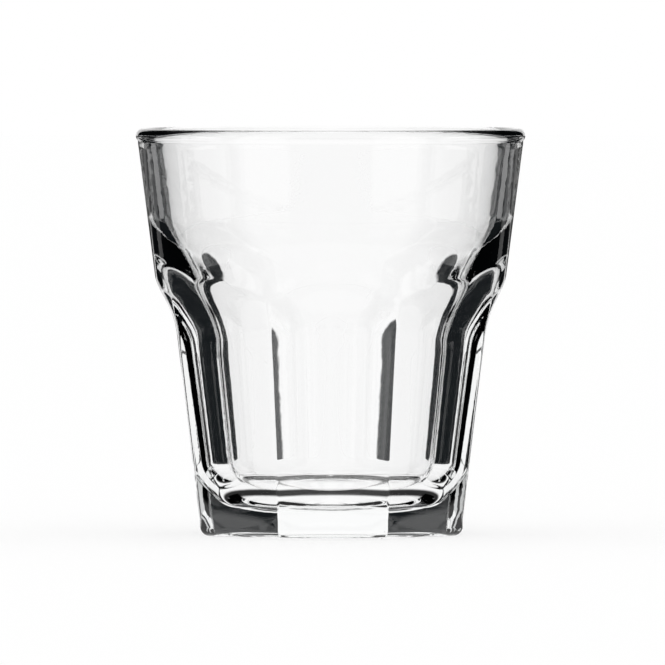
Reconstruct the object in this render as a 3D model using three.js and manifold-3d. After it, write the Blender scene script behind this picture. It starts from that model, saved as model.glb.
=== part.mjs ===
// A rocks glass: a heavy pressed tumbler, moulded in one shot from clear soda-lime glass.
// A round flared body stands on an eight-sided base, and arched scoops lead from one to the other.
// Millimetres, +Z up. The origin is the middle of the ring that the glass stands on.
import * as THREE from "three";
import { mergeVertices } from "three/addons/utils/BufferGeometryUtils.js";
import Module from "manifold-3d";

// Overall sizes
const HEIGHT = 88.6; // table to rim
const RIM_DIAMETER = 85; // over the bead

// Round body
const BODY_TILT_DEG = 7.3; // flare of the wall, from upright
const BODY_WALL = 3.6; // glass between body and cup, measured level
const BEAD_RADIUS = 1.6; // outer rounding of the rim
const BEAD_PROUD = 0.25; // how far the bead stands out of the body's flare
const LIP_DROP = 1.4; // height of the rounding on the inside of the rim

// Panelled base
const PANEL_COUNT = 8;
const PANEL_FLAT_TOP = 43; // height where a flat panel turns into its scoop
const PANEL_INSET = 3.2; // how far inside the body's flare a panel lies at that height
const PANEL_TILT_DEG = 6.7;
const SCOOP_RADIUS = 21.5; // hollow curve that ends in the arch
const BASE_EDGE_RADIUS = 2.1; // rounding between a panel and the underside
const RIDGE_SOFTENING = 0.2; // glass that fire polishing takes off each ridge

// Underside
const STANDING_RING = 5; // width of the flat ring inside the rounded edge
const RECESS_DEPTH = 0.7; // hollow inside the ring

// Cup
const FLOOR_THICKNESS = 6.2; // glass under the lowest point of the cup
const FLOOR_DISH = 0.8; // how far the floor rises from its middle to its corner
const FLOOR_CORNER_RADIUS = 9.4;
const PANEL_WALL = 6.4; // glass between a flat panel's top and the cup, measured level
const CUP_TILT_DEG = 6.9; // draft of the cup below its shoulder
const SHOULDER_DROP = 3; // how far below the flat panels' top the cup starts to widen
const SHOULDER_RISE = 30; // height over which it widens
const SHOULDER_EASE = 0.3; // share of that height over which the curve leaves each of its cones

// Fineness of the facets
const ROUND_STEPS_PER_PANEL = 8;
const ARC_STEPS = 8;
const CURVE_STEPS = 6;

// Values that follow from those sizes
const bodySlope = Math.tan(THREE.MathUtils.degToRad(BODY_TILT_DEG));
const panelTilt = THREE.MathUtils.degToRad(PANEL_TILT_DEG);
const panelSlope = Math.tan(panelTilt);
const cupSlope = Math.tan(THREE.MathUtils.degToRad(CUP_TILT_DEG));
const halfPanelAngle = Math.PI / PANEL_COUNT;
const rimRadius = RIM_DIAMETER / 2;
const beadHeight = HEIGHT - BEAD_RADIUS;
const beadCentre = rimRadius - BEAD_RADIUS;

// Radius of the round body's outside, of a flat panel's middle and of the cup's two cones, at height z.
const bodyRadius = (z) => rimRadius - BEAD_PROUD - (beadHeight - z) * bodySlope;
const panelTopRadius = bodyRadius(PANEL_FLAT_TOP) - PANEL_INSET;
const panelRadius = (z) => panelTopRadius - (PANEL_FLAT_TOP - z) * panelSlope;
const upperCupRadius = (z) => bodyRadius(z) - BODY_WALL;
const lowerCupRadius = (z) => panelTopRadius - PANEL_WALL - (PANEL_FLAT_TOP - z) * cupSlope;

// Middle of the rounding between a panel and the underside.
const edgeCentre = panelRadius(BASE_EDGE_RADIUS) - BASE_EDGE_RADIUS / Math.cos(panelTilt);

// Middle of a panel from the underside up to beyond the body: edge rounding, flat, scoop. (radius, height)
function panelProfile() {
  const path = new THREE.Path();
  path.absarc(edgeCentre, BASE_EDGE_RADIUS, BASE_EDGE_RADIUS, -Math.PI / 2, -panelTilt, false);
  const scoopCentre = new THREE.Vector2(
    panelTopRadius + SCOOP_RADIUS * Math.cos(panelTilt),
    PANEL_FLAT_TOP - SCOOP_RADIUS * Math.sin(panelTilt),
  );
  path.absarc(scoopCentre.x, scoopCentre.y, SCOOP_RADIUS, Math.PI - panelTilt, Math.PI / 2, true);
  return path.getPoints(ARC_STEPS);
}

// A ridge between two panels from the underside up, with a point where it runs out into the round body.
function ridgeProfile(panel) {
  const ridge = panel.map((p) => new THREE.Vector2(p.x / Math.cos(halfPanelAngle) - RIDGE_SOFTENING, p.y));
  const proud = (p) => p.x - bodyRadius(p.y);
  return ridge.flatMap((p, i) => {
    const inside = new THREE.Vector2(Math.min(p.x, bodyRadius(p.y)), p.y);
    const below = ridge[Math.max(i - 1, 0)];
    if (proud(below) * proud(p) >= 0) return [inside];
    const runOut = below.clone().lerp(p, proud(below) / (proud(below) - proud(p)));
    return [runOut, inside];
  });
}

// The turned blank, before its panels are pressed: underside, ridges, body, bead, lip, cup.
function blankProfile(panel) {
  const path = new THREE.Path();
  path.moveTo(0, RECESS_DEPTH);
  const recessRadius = edgeCentre - STANDING_RING;
  path.quadraticCurveTo(recessRadius / 2, RECESS_DEPTH, recessRadius, 0);
  for (const p of ridgeProfile(panel)) path.lineTo(p.x, p.y);
  const bodyTilt = Math.atan(bodySlope);
  path.lineTo(bodyRadius(beadHeight - BEAD_RADIUS), beadHeight - BEAD_RADIUS);
  path.absarc(beadCentre, beadHeight, BEAD_RADIUS, -bodyTilt, Math.PI / 2, false);
  const lipHeight = HEIGHT - LIP_DROP;
  path.quadraticCurveTo(upperCupRadius(HEIGHT), HEIGHT, upperCupRadius(lipHeight), lipHeight);
  const shoulderLow = PANEL_FLAT_TOP - SHOULDER_DROP;
  const shoulderHigh = shoulderLow + SHOULDER_RISE;
  path.lineTo(upperCupRadius(shoulderHigh), shoulderHigh);
  const easeHigh = shoulderHigh - SHOULDER_EASE * SHOULDER_RISE;
  const easeLow = shoulderLow + SHOULDER_EASE * SHOULDER_RISE;
  path.bezierCurveTo(
    upperCupRadius(easeHigh), easeHigh, lowerCupRadius(easeLow), easeLow,
    lowerCupRadius(shoulderLow), shoulderLow,
  );
  const cornerLow = FLOOR_THICKNESS + FLOOR_DISH;
  const cornerHigh = cornerLow + FLOOR_CORNER_RADIUS;
  path.lineTo(lowerCupRadius(cornerHigh), cornerHigh);
  const cornerEnd = lowerCupRadius(cornerLow) - FLOOR_CORNER_RADIUS;
  path.quadraticCurveTo(lowerCupRadius(cornerLow), cornerLow, cornerEnd, cornerLow);
  path.quadraticCurveTo(cornerEnd / 2, FLOOR_THICKNESS, 0, FLOOR_THICKNESS);
  return path.getPoints(CURVE_STEPS);
}

const wasm = await Module();
wasm.setup();

// A closed three.js geometry as a solid that can be cut.
function solidOf(geometry) {
  geometry.deleteAttribute("normal");
  geometry.deleteAttribute("uv");
  const merged = mergeVertices(geometry);
  const corners = merged.index.array;
  const triVerts = [];
  for (let i = 0; i < corners.length; i += 3) {
    const [a, b, c] = corners.subarray(i, i + 3);
    if (a !== b && b !== c && c !== a) triVerts.push(a, b, c);
  }
  return new wasm.Manifold(new wasm.Mesh({
    numProp: 3,
    vertProperties: merged.attributes.position.array,
    triVerts: new Uint32Array(triVerts),
  }));
}

// A solid as three.js geometry again.
function geometryOf(solid) {
  const mesh = solid.getMesh();
  const geometry = new THREE.BufferGeometry();
  geometry.setAttribute("position", new THREE.BufferAttribute(mesh.vertProperties, mesh.numProp));
  geometry.setIndex(new THREE.BufferAttribute(mesh.triVerts, 1));
  geometry.computeVertexNormals();
  return geometry;
}

// The block of glass that one panel takes off the blank, straight across the panel.
function panelCutter(panel, turn) {
  const outside = RIM_DIAMETER;
  const shape = new THREE.Shape();
  shape.moveTo(panel[0].x, -BASE_EDGE_RADIUS);
  for (const p of panel) shape.lineTo(p.x, p.y);
  shape.lineTo(outside, panel.at(-1).y);
  shape.lineTo(outside, -BASE_EDGE_RADIUS);
  const geometry = new THREE.ExtrudeGeometry(shape, { depth: RIM_DIAMETER, bevelEnabled: false });
  geometry.translate(0, 0, -RIM_DIAMETER / 2);
  geometry.rotateX(Math.PI / 2);
  geometry.rotateZ(turn);
  return solidOf(geometry);
}

// Tumbler: the turned blank with its panels cut, the first one facing -Y.
function tumblerGeometry() {
  const panel = panelProfile();
  const blank = new THREE.LatheGeometry(blankProfile(panel), PANEL_COUNT * ROUND_STEPS_PER_PANEL);
  blank.rotateX(Math.PI / 2);
  let glass = solidOf(blank);
  for (let k = 0; k < PANEL_COUNT; k++) {
    glass = glass.subtract(panelCutter(panel, 2 * halfPanelAngle * k - Math.PI / 2));
  }
  return geometryOf(glass);
}

const clearGlass = new THREE.MeshStandardMaterial({
  color: 0xf2f6f5,
  roughness: 0.03,
  metalness: 0,
  transparent: true,
  opacity: 0.35,
});

const rocksGlass = new THREE.Group();
const tumbler = new THREE.Mesh(tumblerGeometry(), clearGlass);
tumbler.name = "tumbler";
rocksGlass.add(tumbler);

export default rocksGlass;
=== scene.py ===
# A rocks glass in clear pressed glass, alone on a white table. Metres, +Z up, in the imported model's frame.
import math

import bpy
import numpy as np
from mathutils import Matrix, Vector


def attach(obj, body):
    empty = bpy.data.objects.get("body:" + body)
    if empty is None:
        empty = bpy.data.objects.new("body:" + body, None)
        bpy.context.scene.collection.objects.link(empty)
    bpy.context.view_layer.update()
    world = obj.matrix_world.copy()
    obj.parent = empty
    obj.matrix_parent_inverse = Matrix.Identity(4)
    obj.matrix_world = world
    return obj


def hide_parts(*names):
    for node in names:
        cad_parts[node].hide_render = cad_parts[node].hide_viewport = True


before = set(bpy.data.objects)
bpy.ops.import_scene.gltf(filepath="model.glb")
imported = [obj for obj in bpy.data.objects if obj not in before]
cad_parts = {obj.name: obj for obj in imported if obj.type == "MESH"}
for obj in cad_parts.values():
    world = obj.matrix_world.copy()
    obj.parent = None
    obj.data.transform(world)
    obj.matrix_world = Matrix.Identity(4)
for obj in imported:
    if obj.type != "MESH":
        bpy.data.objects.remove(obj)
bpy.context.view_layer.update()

# Tumbler
# One gob of clear soda-lime glass, pressed in one shot between an eight-sided mould and a plunger.
# The mould gives the flared body, the arched scoops and the flat panels, and the plunger gives the round cup.
# A flame then polishes it all over, which softens every edge and leaves a bright skin with a faint ripple.
MM = 0.001
HEIGHT = 88.6 * MM
RIM_RADIUS = 42.5 * MM
BODY_SLOPE = math.tan(math.radians(7.3))
BODY_WALL = 3.6 * MM
BEAD_RADIUS = 1.6 * MM
BEAD_PROUD = 0.25 * MM
LIP_DROP = 1.4 * MM

PANEL_COUNT = 8
PANEL_FLAT_TOP = 43.0 * MM
PANEL_INSET = 3.2 * MM
PANEL_TILT = math.radians(6.7)
SCOOP_RADIUS = 21.5 * MM
SCOOP_END_GAP = 0.25 * MM
ARCH_BLEND = 2.0 * MM
BASE_EDGE_RADIUS = 2.1 * MM
RIDGE_RADIUS = 0.6 * MM

STANDING_RING = 5.0 * MM
RECESS_DEPTH = 0.7 * MM

FLOOR_THICKNESS = 6.2 * MM
FLOOR_DISH = 0.8 * MM
FLOOR_CORNER_RADIUS = 9.4 * MM
PANEL_WALL = 6.4 * MM
CUP_SLOPE = math.tan(math.radians(6.9))
SHOULDER_DROP = 3.0 * MM
SHOULDER_RISE = 30.0 * MM
SHOULDER_EASE = 0.3

half_panel = math.pi / PANEL_COUNT
bead_height = HEIGHT - BEAD_RADIUS
bead_centre = RIM_RADIUS - BEAD_RADIUS


def body_radius(z):
    """Outside of the round body at height z."""
    return RIM_RADIUS - BEAD_PROUD - (bead_height - z) * BODY_SLOPE


panel_top_radius = body_radius(PANEL_FLAT_TOP) - PANEL_INSET
panel_foot_radius = panel_top_radius - PANEL_FLAT_TOP * math.tan(PANEL_TILT)
edge_centre = panel_foot_radius + BASE_EDGE_RADIUS * (math.tan(PANEL_TILT) - 1 / math.cos(PANEL_TILT))
recess_radius = edge_centre - STANDING_RING


def upper_cup_radius(z):
    """Inside of the cup above its shoulder."""
    return body_radius(z) - BODY_WALL


def lower_cup_radius(z):
    """Inside of the cup below its shoulder."""
    return panel_top_radius - PANEL_WALL - (PANEL_FLAT_TOP - z) * CUP_SLOPE


def panel_radius(z):
    """Distance of a panel's middle from the axis: flat below, then the hollow scoop."""
    if z <= PANEL_FLAT_TOP:
        return panel_foot_radius + z * math.tan(PANEL_TILT)
    scoop_centre = panel_top_radius + SCOOP_RADIUS * math.cos(PANEL_TILT)
    rise = z - PANEL_FLAT_TOP + SCOOP_RADIUS * math.sin(PANEL_TILT)
    return scoop_centre - math.sqrt(max(SCOOP_RADIUS**2 - rise**2, 0))


COLUMNS_PER_PANEL = 36
RIDGE_BUNCHING = 0.65
step = np.linspace(-1, 1, COLUMNS_PER_PANEL, endpoint=False)
off_panel = half_panel * (step + RIDGE_BUNCHING * np.sin(math.pi * step) / math.pi)
turn = (2 * half_panel * np.arange(PANEL_COUNT)[:, None] + off_panel).ravel()


def panelled(apothem):
    """Radius in each column of an eight-sided section with softened ridges."""
    off_middle = np.abs((turn + half_panel) % (2 * half_panel) - half_panel)
    off_ridge = off_middle - half_panel
    ridge_centre = (apothem - RIDGE_RADIUS) / math.cos(half_panel)
    reach = np.sqrt(np.maximum(RIDGE_RADIUS**2 - (ridge_centre * np.sin(off_ridge)) ** 2, 0))
    ridge = ridge_centre * np.cos(off_ridge) + reach
    ridge_start = math.atan2((apothem - RIDGE_RADIUS) * math.tan(half_panel), apothem)
    return np.where(off_middle > ridge_start, ridge, apothem / np.cos(off_middle))


def melted_together(first, second, blend):
    """The smaller of two radii, with the edge between them melted over a width."""
    near = np.maximum(blend - np.abs(first - second), 0) / blend
    return np.minimum(first, second) - near**2 * blend / 4


def curve(start, pull_start, pull_end, end, count):
    """Points along a cubic curve, without its start."""
    t = np.linspace(0, 1, count + 1)[1:, None]
    corners = [np.array(p) for p in (start, pull_start, pull_end, end)]
    weights = ((1 - t) ** 3, 3 * (1 - t) ** 2 * t, 3 * (1 - t) * t**2, t**3)
    return sum(w * p for w, p in zip(weights, corners))


def outside_rows():
    """Rings of (radius in each column, height) from the underside's middle up to the crown of the rim."""
    rings = []
    for r in np.linspace(0, recess_radius, 12)[1:]:
        rings.append((np.full_like(turn, r), RECESS_DEPTH * (1 - (r / recess_radius) ** 2)))
    foot = panelled(edge_centre)
    for share in (0.25, 0.5, 0.75):
        rings.append((recess_radius + (foot - recess_radius) * share, 0.0))
    for angle in np.linspace(-math.pi / 2, -PANEL_TILT, 12):
        rings.append((panelled(edge_centre + BASE_EDGE_RADIUS * math.cos(angle)),
                      BASE_EDGE_RADIUS * (1 + math.sin(angle))))
    edge_top = BASE_EDGE_RADIUS * (1 - math.sin(PANEL_TILT))
    # The scoop's rings stop just short of the height where its hollow curve turns level.
    scoop_top = PANEL_FLAT_TOP + SCOOP_RADIUS * (1 - math.sin(PANEL_TILT)) - SCOOP_END_GAP
    bead_foot = bead_height - BEAD_RADIUS
    stretches = ((edge_top, PANEL_FLAT_TOP, 22), (PANEL_FLAT_TOP, scoop_top, 80), (scoop_top, bead_foot, 18))
    for low, high, count in stretches:
        for z in np.linspace(low, high, count + 1)[1:]:
            body = np.full_like(turn, body_radius(z))
            outside = body if z > scoop_top else melted_together(panelled(panel_radius(z)), body, ARCH_BLEND)
            rings.append((outside, z))
    for angle in np.linspace(-math.pi / 4, math.pi / 2, 18):
        rings.append((np.full_like(turn, bead_centre + BEAD_RADIUS * math.cos(angle)),
                      bead_height + BEAD_RADIUS * math.sin(angle)))
    return rings


def cup_rows():
    """Rings of the cup from the crown of the rim down to the middle of its floor."""
    lip = HEIGHT - LIP_DROP
    shoulder_low = PANEL_FLAT_TOP - SHOULDER_DROP
    shoulder_high = shoulder_low + SHOULDER_RISE
    ease_high = shoulder_high - SHOULDER_EASE * SHOULDER_RISE
    ease_low = shoulder_low + SHOULDER_EASE * SHOULDER_RISE
    corner_low = FLOOR_THICKNESS + FLOOR_DISH
    corner_high = corner_low + FLOOR_CORNER_RADIUS
    corner_end = lower_cup_radius(corner_low) - FLOOR_CORNER_RADIUS
    round_pull = 0.55
    pull = round_pull * FLOOR_CORNER_RADIUS
    lip_width = bead_centre - upper_cup_radius(lip)
    points = [
        curve((bead_centre, HEIGHT), (bead_centre - round_pull * lip_width, HEIGHT),
              (upper_cup_radius(lip), lip + round_pull * LIP_DROP), (upper_cup_radius(lip), lip), 12),
        curve(*[(upper_cup_radius(z), z) for z in np.linspace(lip, shoulder_high, 4)], 18),
        curve((upper_cup_radius(shoulder_high), shoulder_high), (upper_cup_radius(ease_high), ease_high),
              (lower_cup_radius(ease_low), ease_low), (lower_cup_radius(shoulder_low), shoulder_low), 40),
        curve(*[(lower_cup_radius(z), z) for z in np.linspace(shoulder_low, corner_high, 4)], 18),
        curve((lower_cup_radius(corner_high), corner_high),
              (lower_cup_radius(corner_high - pull), corner_high - pull),
              (corner_end + pull, corner_low), (corner_end, corner_low), 24),
        curve((corner_end, corner_low), (corner_end * 2 / 3, FLOOR_THICKNESS + FLOOR_DISH / 3),
              (corner_end / 3, FLOOR_THICKNESS), (0, FLOOR_THICKNESS), 18),
    ]
    return [(np.full_like(turn, r), z) for r, z in np.concatenate(points)[:-1]]


def tumbler_mesh():
    """The rings joined into one closed skin, with a point on the axis at either end."""
    rings = outside_rows() + cup_rows()
    columns = len(turn)
    points = [np.array([[0, 0, RECESS_DEPTH]])]
    for radius, z in rings:
        points.append(np.stack([radius * np.sin(turn), -radius * np.cos(turn), np.full(columns, z)], 1))
    points.append(np.array([[0, 0, FLOOR_THICKNESS]]))
    here = 1 + np.arange(columns)
    beside = 1 + (np.arange(columns) + 1) % columns
    faces = [(0, b, a) for a, b in zip(here.tolist(), beside.tolist())]
    for k in range(len(rings) - 1):
        low, high = k * columns, (k + 1) * columns
        faces += np.stack([here + low, beside + low, beside + high, here + high], 1).tolist()
    last = (len(rings) - 1) * columns
    axis_point = 1 + len(rings) * columns
    faces += [(axis_point, a + last, b + last) for a, b in zip(here.tolist(), beside.tolist())]
    mesh = bpy.data.meshes.new("tumbler_glass")
    mesh.from_pydata(np.concatenate(points).tolist(), [], faces)
    mesh.shade_smooth()
    return mesh


def linear(colour):
    """An sRGB hex colour as linear red, green, blue and full alpha."""
    parts = [int(colour[k:k + 2], 16) / 255 for k in (0, 2, 4)]
    return [p / 12.92 if p <= 0.04045 else ((p + 0.055) / 1.055) ** 2.4 for p in parts] + [1.0]


def add(tree, kind, sockets=(), **settings):
    """A node with its settings, and its sockets set to a value or joined to another node's output."""
    made = tree.nodes.new(kind)
    for name, value in settings.items():
        setattr(made, name, value)
    for name, value in dict(sockets).items():
        if isinstance(value, bpy.types.Node):
            value = value.outputs[0]
        if isinstance(value, bpy.types.NodeSocket):
            tree.links.new(value, made.inputs[name])
        else:
            made.inputs[name].default_value = value
    return made


# Clear soda-lime glass, pressed and fire polished: colourless and bright, with a ripple about 3 mm long.
glass = bpy.data.materials.new("fire-polished pressed soda-lime glass")
glass.use_nodes = True
nodes = glass.node_tree
nodes.nodes.clear()
RIPPLE_LENGTH = 3 * MM
RIPPLE_HEIGHT = 0.01 * MM
BLOOM_LENGTH = 12 * MM
LEAST_POLISHED = 0.012
place = add(nodes, "ShaderNodeTexCoord").outputs["Object"]
ripple = add(nodes, "ShaderNodeTexNoise", {"Vector": place, "Scale": 1 / RIPPLE_LENGTH, "Detail": 2.0})
bloom = add(nodes, "ShaderNodeTexNoise", {"Vector": place, "Scale": 1 / BLOOM_LENGTH, "Detail": 3.0})
polish = add(nodes, "ShaderNodeMapRange", {"Value": bloom, "To Max": LEAST_POLISHED})
skin = add(nodes, "ShaderNodeBump", {"Height": ripple, "Strength": 1.0, "Distance": RIPPLE_HEIGHT})
clear = add(nodes, "ShaderNodeBsdfPrincipled", {
    "Base Color": linear("ffffff"), "Roughness": polish, "IOR": 1.52, "Transmission Weight": 1.0,
    "Normal": skin})
tint = add(nodes, "ShaderNodeVolumeAbsorption", {"Color": linear("e6f0ee"), "Density": 1.5})
add(nodes, "ShaderNodeOutputMaterial", {"Surface": clear, "Volume": tint})

tumbler = bpy.data.objects.new("tumbler_glass", tumbler_mesh())
bpy.context.scene.collection.objects.link(tumbler)
tumbler.data.materials.append(glass)
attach(tumbler, "root")
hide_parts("tumbler")

# Table
# A matt white sheet under the glass, wide enough to run out of every view. It takes the glass's own shadow.
# Rays that the glass bends see it glow as if lit, but for a painted shadow ring under the glass and two dark
# wedges behind it.
# Rays that the glass also mirrors see painted light and shade: only its near part glowing, two painted grey
# strips and a dim glow far off.
CAMERA_TURN = math.radians(-1.0)
TABLE_RADIUS = 6.0
TABLE_SIDES = 96
EDGE_SOFTNESS = 4 * MM
SHADOW_INNER = 19 * MM
SHADOW_OUTER = 24 * MM
SHADOW_SOFTNESS = 1 * MM
SHADOW_LIGHT = 0.03
WEDGE_START = 72 * MM
WEDGE_SLANT = 0.72
NEAR_HALF = 85 * MM
NEAR_NARROWING = 0.1
NEAR_FRONT_NARROWING = 2.0
SIDE_GREY_FROM = 400 * MM
SIDE_GREY_FULL = 480 * MM
SIDE_GREY = 0.3
SIDE_GREY_SLANT = 0.84
SIDE_GREY_HALF = 0.12
FAR_FROM = 1000 * MM
FAR_FULL = 1300 * MM
FAR_LIGHT = 0.06
LIT_FROM_BELOW = 0.65
table_mesh = bpy.data.meshes.new("table_sheet")
around = [2 * math.pi * k / TABLE_SIDES for k in range(TABLE_SIDES)]
table_mesh.from_pydata([(TABLE_RADIUS * math.cos(a), TABLE_RADIUS * math.sin(a), 0) for a in around], [],
                       [list(range(TABLE_SIDES))])
table_sheet = bpy.data.objects.new("table_sheet", table_mesh)
bpy.context.scene.collection.objects.link(table_sheet)


def through_glass(tree):
    """1 for a ray that the glass bends or mirrors, 0 for one that the camera or a matt surface sends."""
    ray = add(tree, "ShaderNodeLightPath").outputs
    bent = add(tree, "ShaderNodeMath", {0: ray["Is Transmission Ray"], 1: ray["Is Glossy Ray"]},
               operation="MAXIMUM")
    seen = add(tree, "ShaderNodeMath", {0: ray["Diffuse Depth"], 1: 0.5}, operation="LESS_THAN")
    return add(tree, "ShaderNodeMath", {0: bent, 1: seen}, operation="MULTIPLY")


# White paper, matt.
paper = bpy.data.materials.new("matt white paper")
paper.use_nodes = True
nodes = paper.node_tree
nodes.nodes.clear()
place = add(nodes, "ShaderNodeTexCoord").outputs["Object"]
place = add(nodes, "ShaderNodeVectorRotate", {"Vector": place, "Angle": -CAMERA_TURN}, rotation_type="Z_AXIS")
spot = add(nodes, "ShaderNodeSeparateXYZ", {0: place})
aside = add(nodes, "ShaderNodeMath", {0: spot.outputs["X"]}, operation="ABSOLUTE")
back_edge = add(nodes, "ShaderNodeMath", {0: spot.outputs["Y"], 1: NEAR_NARROWING, 2: aside},
                operation="MULTIPLY_ADD")
front_edge = add(nodes, "ShaderNodeMath", {0: spot.outputs["Y"], 1: -NEAR_FRONT_NARROWING, 2: aside},
                 operation="MULTIPLY_ADD")
off_edge = add(nodes, "ShaderNodeMath", {0: back_edge, 1: front_edge}, operation="MAXIMUM")
# Painted reflection light: for rays that the glass mirrors, only this near part of the sheet glows white.
near_part = add(nodes, "ShaderNodeMapRange", {
    "Value": off_edge, "From Min": NEAR_HALF + EDGE_SOFTNESS, "From Max": NEAR_HALF - EDGE_SOFTNESS},
    interpolation_type="SMOOTHSTEP")
past_start = add(nodes, "ShaderNodeMath", {0: aside, 1: WEDGE_START}, operation="SUBTRACT")
past_slant = add(nodes, "ShaderNodeMath", {0: spot.outputs["Y"], 1: WEDGE_SLANT}, operation="MULTIPLY")
past_slant = add(nodes, "ShaderNodeMath", {0: past_slant, 1: aside}, operation="SUBTRACT")
in_wedge = add(nodes, "ShaderNodeMath", {0: past_start, 1: past_slant}, operation="MINIMUM")
off_wedge = add(nodes, "ShaderNodeMapRange", {
    "Value": in_wedge, "From Min": EDGE_SOFTNESS, "From Max": -EDGE_SOFTNESS},
    interpolation_type="SMOOTHSTEP")
mirrors = add(nodes, "ShaderNodeLightPath").outputs["Glossy Depth"]
mirrored = add(nodes, "ShaderNodeMath", {0: mirrors, 1: 0.5}, operation="GREATER_THAN")
off_axis = add(nodes, "ShaderNodeVectorMath", {0: place}, operation="LENGTH").outputs["Value"]
# Painted reflection light: two grey strips of glow off to the sides, seen only by rays that the glass
# mirrors.
painted_side_strips = add(nodes, "ShaderNodeMapRange", {
    "Value": off_axis, "From Min": SIDE_GREY_FROM, "From Max": SIDE_GREY_FULL, "To Max": SIDE_GREY})
slant = add(nodes, "ShaderNodeMath", {0: aside, 1: spot.outputs["Y"]}, operation="DIVIDE")
in_grey = add(nodes, "ShaderNodeMath", {0: slant, 1: SIDE_GREY_SLANT, 2: SIDE_GREY_HALF}, operation="COMPARE")
painted_side_strips = add(nodes, "ShaderNodeMath", {0: painted_side_strips, 1: in_grey}, operation="MULTIPLY")
mirror_part = add(nodes, "ShaderNodeMath", {0: near_part, 1: painted_side_strips}, operation="MAXIMUM")
# Painted shade in reflections: far off, rays that the glass mirrors see only a dim glow.
far = add(nodes, "ShaderNodeMapRange", {
    "Value": off_axis, "From Min": FAR_FROM, "From Max": FAR_FULL, "To Max": mirrored})
on_sheet = add(nodes, "ShaderNodeMix", {0: mirrored, 2: off_wedge, 3: mirror_part})
on_sheet = add(nodes, "ShaderNodeMath", {0: on_sheet, 1: far}, operation="MAXIMUM")
# Painted shadow: a dark ring in the sheet's glow under the thick corner of the glass, for rays through the
# glass only.
shadow_middle = (SHADOW_INNER + SHADOW_OUTER) / 2
off_ring = add(nodes, "ShaderNodeMath", {0: off_axis, 1: shadow_middle}, operation="SUBTRACT")
off_ring = add(nodes, "ShaderNodeMath", {0: off_ring}, operation="ABSOLUTE")
shadow_half = (SHADOW_OUTER - SHADOW_INNER) / 2
lit = add(nodes, "ShaderNodeMapRange", {
    "Value": off_ring, "From Min": shadow_half - SHADOW_SOFTNESS, "From Max": shadow_half + SHADOW_SOFTNESS,
    "To Min": SHADOW_LIGHT}, interpolation_type="SMOOTHSTEP")
dimmed = add(nodes, "ShaderNodeMapRange", {"Value": far, "To Min": lit, "To Max": FAR_LIGHT})
# The sheet glows in place of lamp light: painted light, with the painted shadow ring and the dim far part in
# its strength.
sheet = add(nodes, "ShaderNodeEmission", {"Color": linear("ffffff"), "Strength": dimmed})
beyond = add(nodes, "ShaderNodeBsdfTransparent")
bent_look = add(nodes, "ShaderNodeMixShader", {0: on_sheet, 1: beyond, 2: sheet})
matt = add(nodes, "ShaderNodeBsdfDiffuse", {"Color": linear("fefefe")})
glow = add(nodes, "ShaderNodeEmission", {"Color": linear("ffffff")})
plain_look = add(nodes, "ShaderNodeMixShader", {0: LIT_FROM_BELOW, 1: matt, 2: glow})
table_look = add(nodes, "ShaderNodeMixShader", {0: through_glass(nodes), 1: plain_look, 2: bent_look})
add(nodes, "ShaderNodeOutputMaterial", {"Surface": table_look})
table_sheet.data.materials.append(paper)

# Studio
# A bright field: the glass stands before a narrow white backdrop in a dark room, between white cards.
# White also comes from steeply below, and fainter light from the front and from above.
# The camera sees plain white behind the glass. Only rays that the glass bends or mirrors see where it ends.
# Angles are in degrees, off the middle of the backdrop or above the level.
BACKDROP_HALF = 17.0
BACKDROP_SOFTNESS = 0.9
BELOW_START = -42.0
BELOW_FULL = -52.0
FRONT_START = 95.0
FRONT_FULL = 125.0
FRONT_LIGHT = 0.65
TOP_START = 25.0
TOP_FULL = 45.0
TOP_LIGHT = 0.1
CARDS_OFF_BACK = (90.0, 135.0)
CARD_HALF_WIDTH = 17.0
CARD_MIDDLE = 3.0
CARD_HALF_HEIGHT = 13.0
studio = bpy.data.worlds.new("bright field studio")
bpy.context.scene.world = studio
studio.use_nodes = True
nodes = studio.node_tree
nodes.nodes.clear()
way = add(nodes, "ShaderNodeTexCoord").outputs["Generated"]
way = add(nodes, "ShaderNodeVectorRotate", {"Vector": way, "Angle": -CAMERA_TURN}, rotation_type="Z_AXIS")
way = add(nodes, "ShaderNodeSeparateXYZ", {0: way})
aside = add(nodes, "ShaderNodeMath", {0: way.outputs["X"]}, operation="ABSOLUTE")
off_back = add(nodes, "ShaderNodeMath", {0: aside, 1: way.outputs["Y"]}, operation="ARCTAN2")
off_back = add(nodes, "ShaderNodeMath", {0: off_back}, operation="DEGREES")
above = add(nodes, "ShaderNodeMath", {0: way.outputs["Z"]}, operation="ARCSINE")
above = add(nodes, "ShaderNodeMath", {0: above}, operation="DEGREES")
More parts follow.
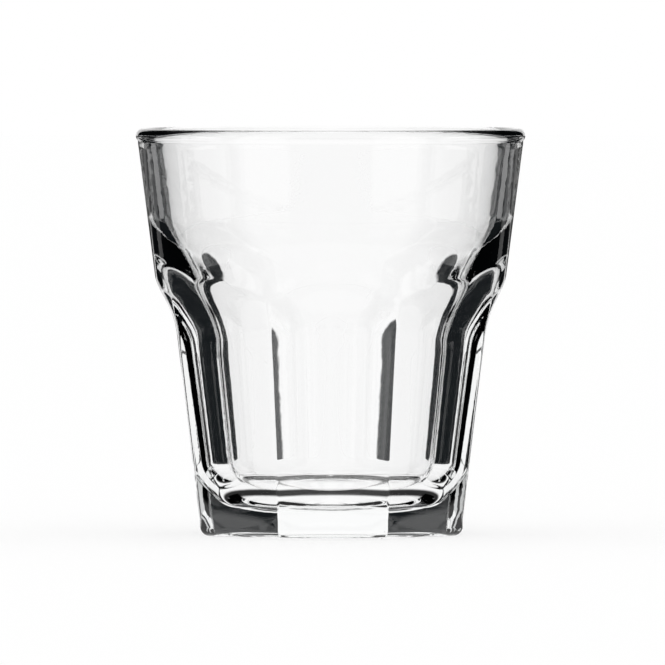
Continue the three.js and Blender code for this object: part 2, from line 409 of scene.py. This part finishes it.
# Backdrop, below, front and top: the angle each goes by, where it starts, where it is full, how bright it is.
lights = (
    (off_back, BACKDROP_HALF + BACKDROP_SOFTNESS, BACKDROP_HALF - BACKDROP_SOFTNESS, 1.0),
    (above, BELOW_START, BELOW_FULL, 1.0),
    (off_back, FRONT_START, FRONT_FULL, FRONT_LIGHT),
    (above, TOP_START, TOP_FULL, TOP_LIGHT),
)
white = 0.0
for angle, start, full, brightness in lights:
    lamp = add(nodes, "ShaderNodeMapRange", {
        "Value": angle, "From Min": start, "From Max": full, "To Max": brightness},
        interpolation_type="SMOOTHSTEP")
    white = add(nodes, "ShaderNodeMath", {0: white, 1: lamp}, operation="MAXIMUM")
level = add(nodes, "ShaderNodeMath", {0: above, 1: CARD_MIDDLE, 2: CARD_HALF_HEIGHT}, operation="COMPARE")
for centre in CARDS_OFF_BACK:
    in_line = add(nodes, "ShaderNodeMath", {0: off_back, 1: centre, 2: CARD_HALF_WIDTH}, operation="COMPARE")
    card = add(nodes, "ShaderNodeMath", {0: in_line, 1: level}, operation="MULTIPLY")
    white = add(nodes, "ShaderNodeMath", {0: white, 1: card}, operation="MAXIMUM")
DARK_ROOM = linear("171a1c")
PLAIN_WHITE = linear("ffffff")
room = add(nodes, "ShaderNodeMix", {0: white, 6: DARK_ROOM, 7: PLAIN_WHITE}, data_type="RGBA").outputs[2]
seen = add(nodes, "ShaderNodeMix", {0: through_glass(nodes), 6: PLAIN_WHITE, 7: room}, data_type="RGBA")
light = add(nodes, "ShaderNodeBackground", {"Color": seen.outputs[2], "Strength": 1.0})
add(nodes, "ShaderNodeOutputWorld", {"Surface": light})
bpy.context.scene.view_settings.view_transform = "Standard"

# Camera
# A long lens a little above the rim's height, as far back as the flat look of the rim needs.
PHOTO_SIDE = 665
PHOTO_WIDTH = 145.2 * MM
CAMERA_DISTANCE = 3.5
CAMERA_HEIGHT = 138.0 * MM
AXIS_COLUMN = 330.6
FOOT_ROW = 534.0
SENSOR = 36.0
look = bpy.data.cameras.new("camera")
photo_camera = bpy.data.objects.new("camera", look)
bpy.context.scene.collection.objects.link(photo_camera)
stand = Vector((math.sin(CAMERA_TURN), -math.cos(CAMERA_TURN), 0)) * CAMERA_DISTANCE
stand.z = CAMERA_HEIGHT
aim = Vector((0, 0, (FOOT_ROW - PHOTO_SIDE / 2) * PHOTO_WIDTH / PHOTO_SIDE))
back = (stand - aim).normalized()
right = Vector((0, 0, 1)).cross(back).normalized()
facing = Matrix((right, back.cross(right), back)).transposed().to_4x4()
photo_camera.matrix_world = Matrix.Translation(stand) @ facing
look.sensor_width = SENSOR
look.lens = SENSOR * (stand - aim).length / PHOTO_WIDTH
look.shift_x = (PHOTO_SIDE / 2 - AXIS_COLUMN) / PHOTO_SIDE
look.clip_end = 100.0
bpy.context.scene.camera = photo_camera
